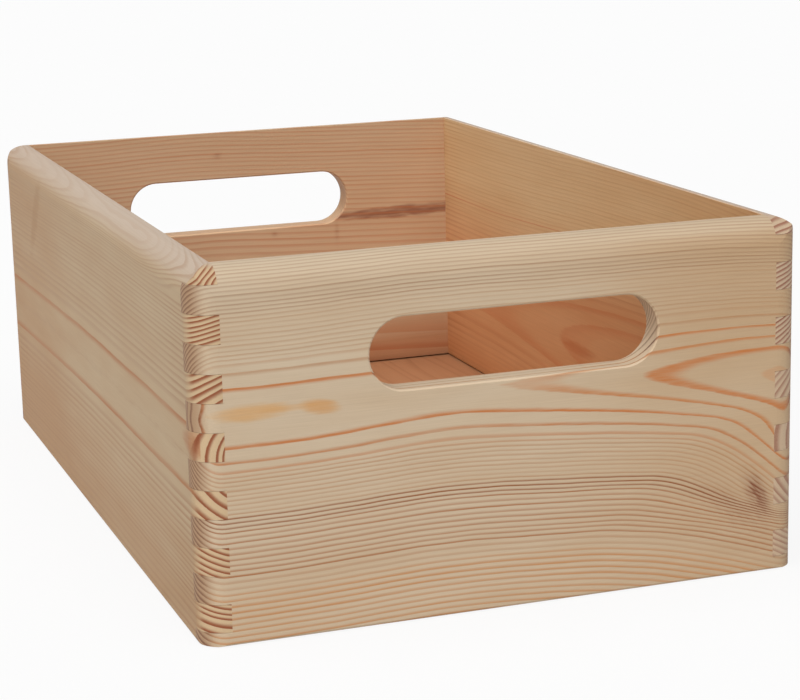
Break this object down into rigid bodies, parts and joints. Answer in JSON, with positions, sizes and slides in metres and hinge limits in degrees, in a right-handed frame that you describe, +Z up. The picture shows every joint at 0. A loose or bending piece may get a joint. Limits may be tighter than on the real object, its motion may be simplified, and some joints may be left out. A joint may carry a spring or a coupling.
{
  "type": "wooden storage box",
  "caption": "Open-topped storage box of solid pine with finger-jointed corners, rounded outer edges, a hand hole in each end and a thin floor set in grooves.",
  "frame": {"origin": "centre of the footprint, on the surface that the box stands on", "axes": "+Z up; +Y along the length, from the front end to the back end; +X across the width, to the right seen from the front"},
  "size_m": [0.242, 0.372, 0.14],
  "materials": {
    "side_pine": "bare sanded pine, flat-sawn, fine rings",
    "end_pine": "bare sanded pine, flat-sawn, cathedral figure",
    "floor_plywood": "bare sanded plywood"
  },
  "bodies": {
    "root": {"left_side": "side_pine", "right_side": "side_pine", "front_end": "end_pine", "back_end": "end_pine", "floor_panel": "floor_plywood"}
  },
  "joints": []
}
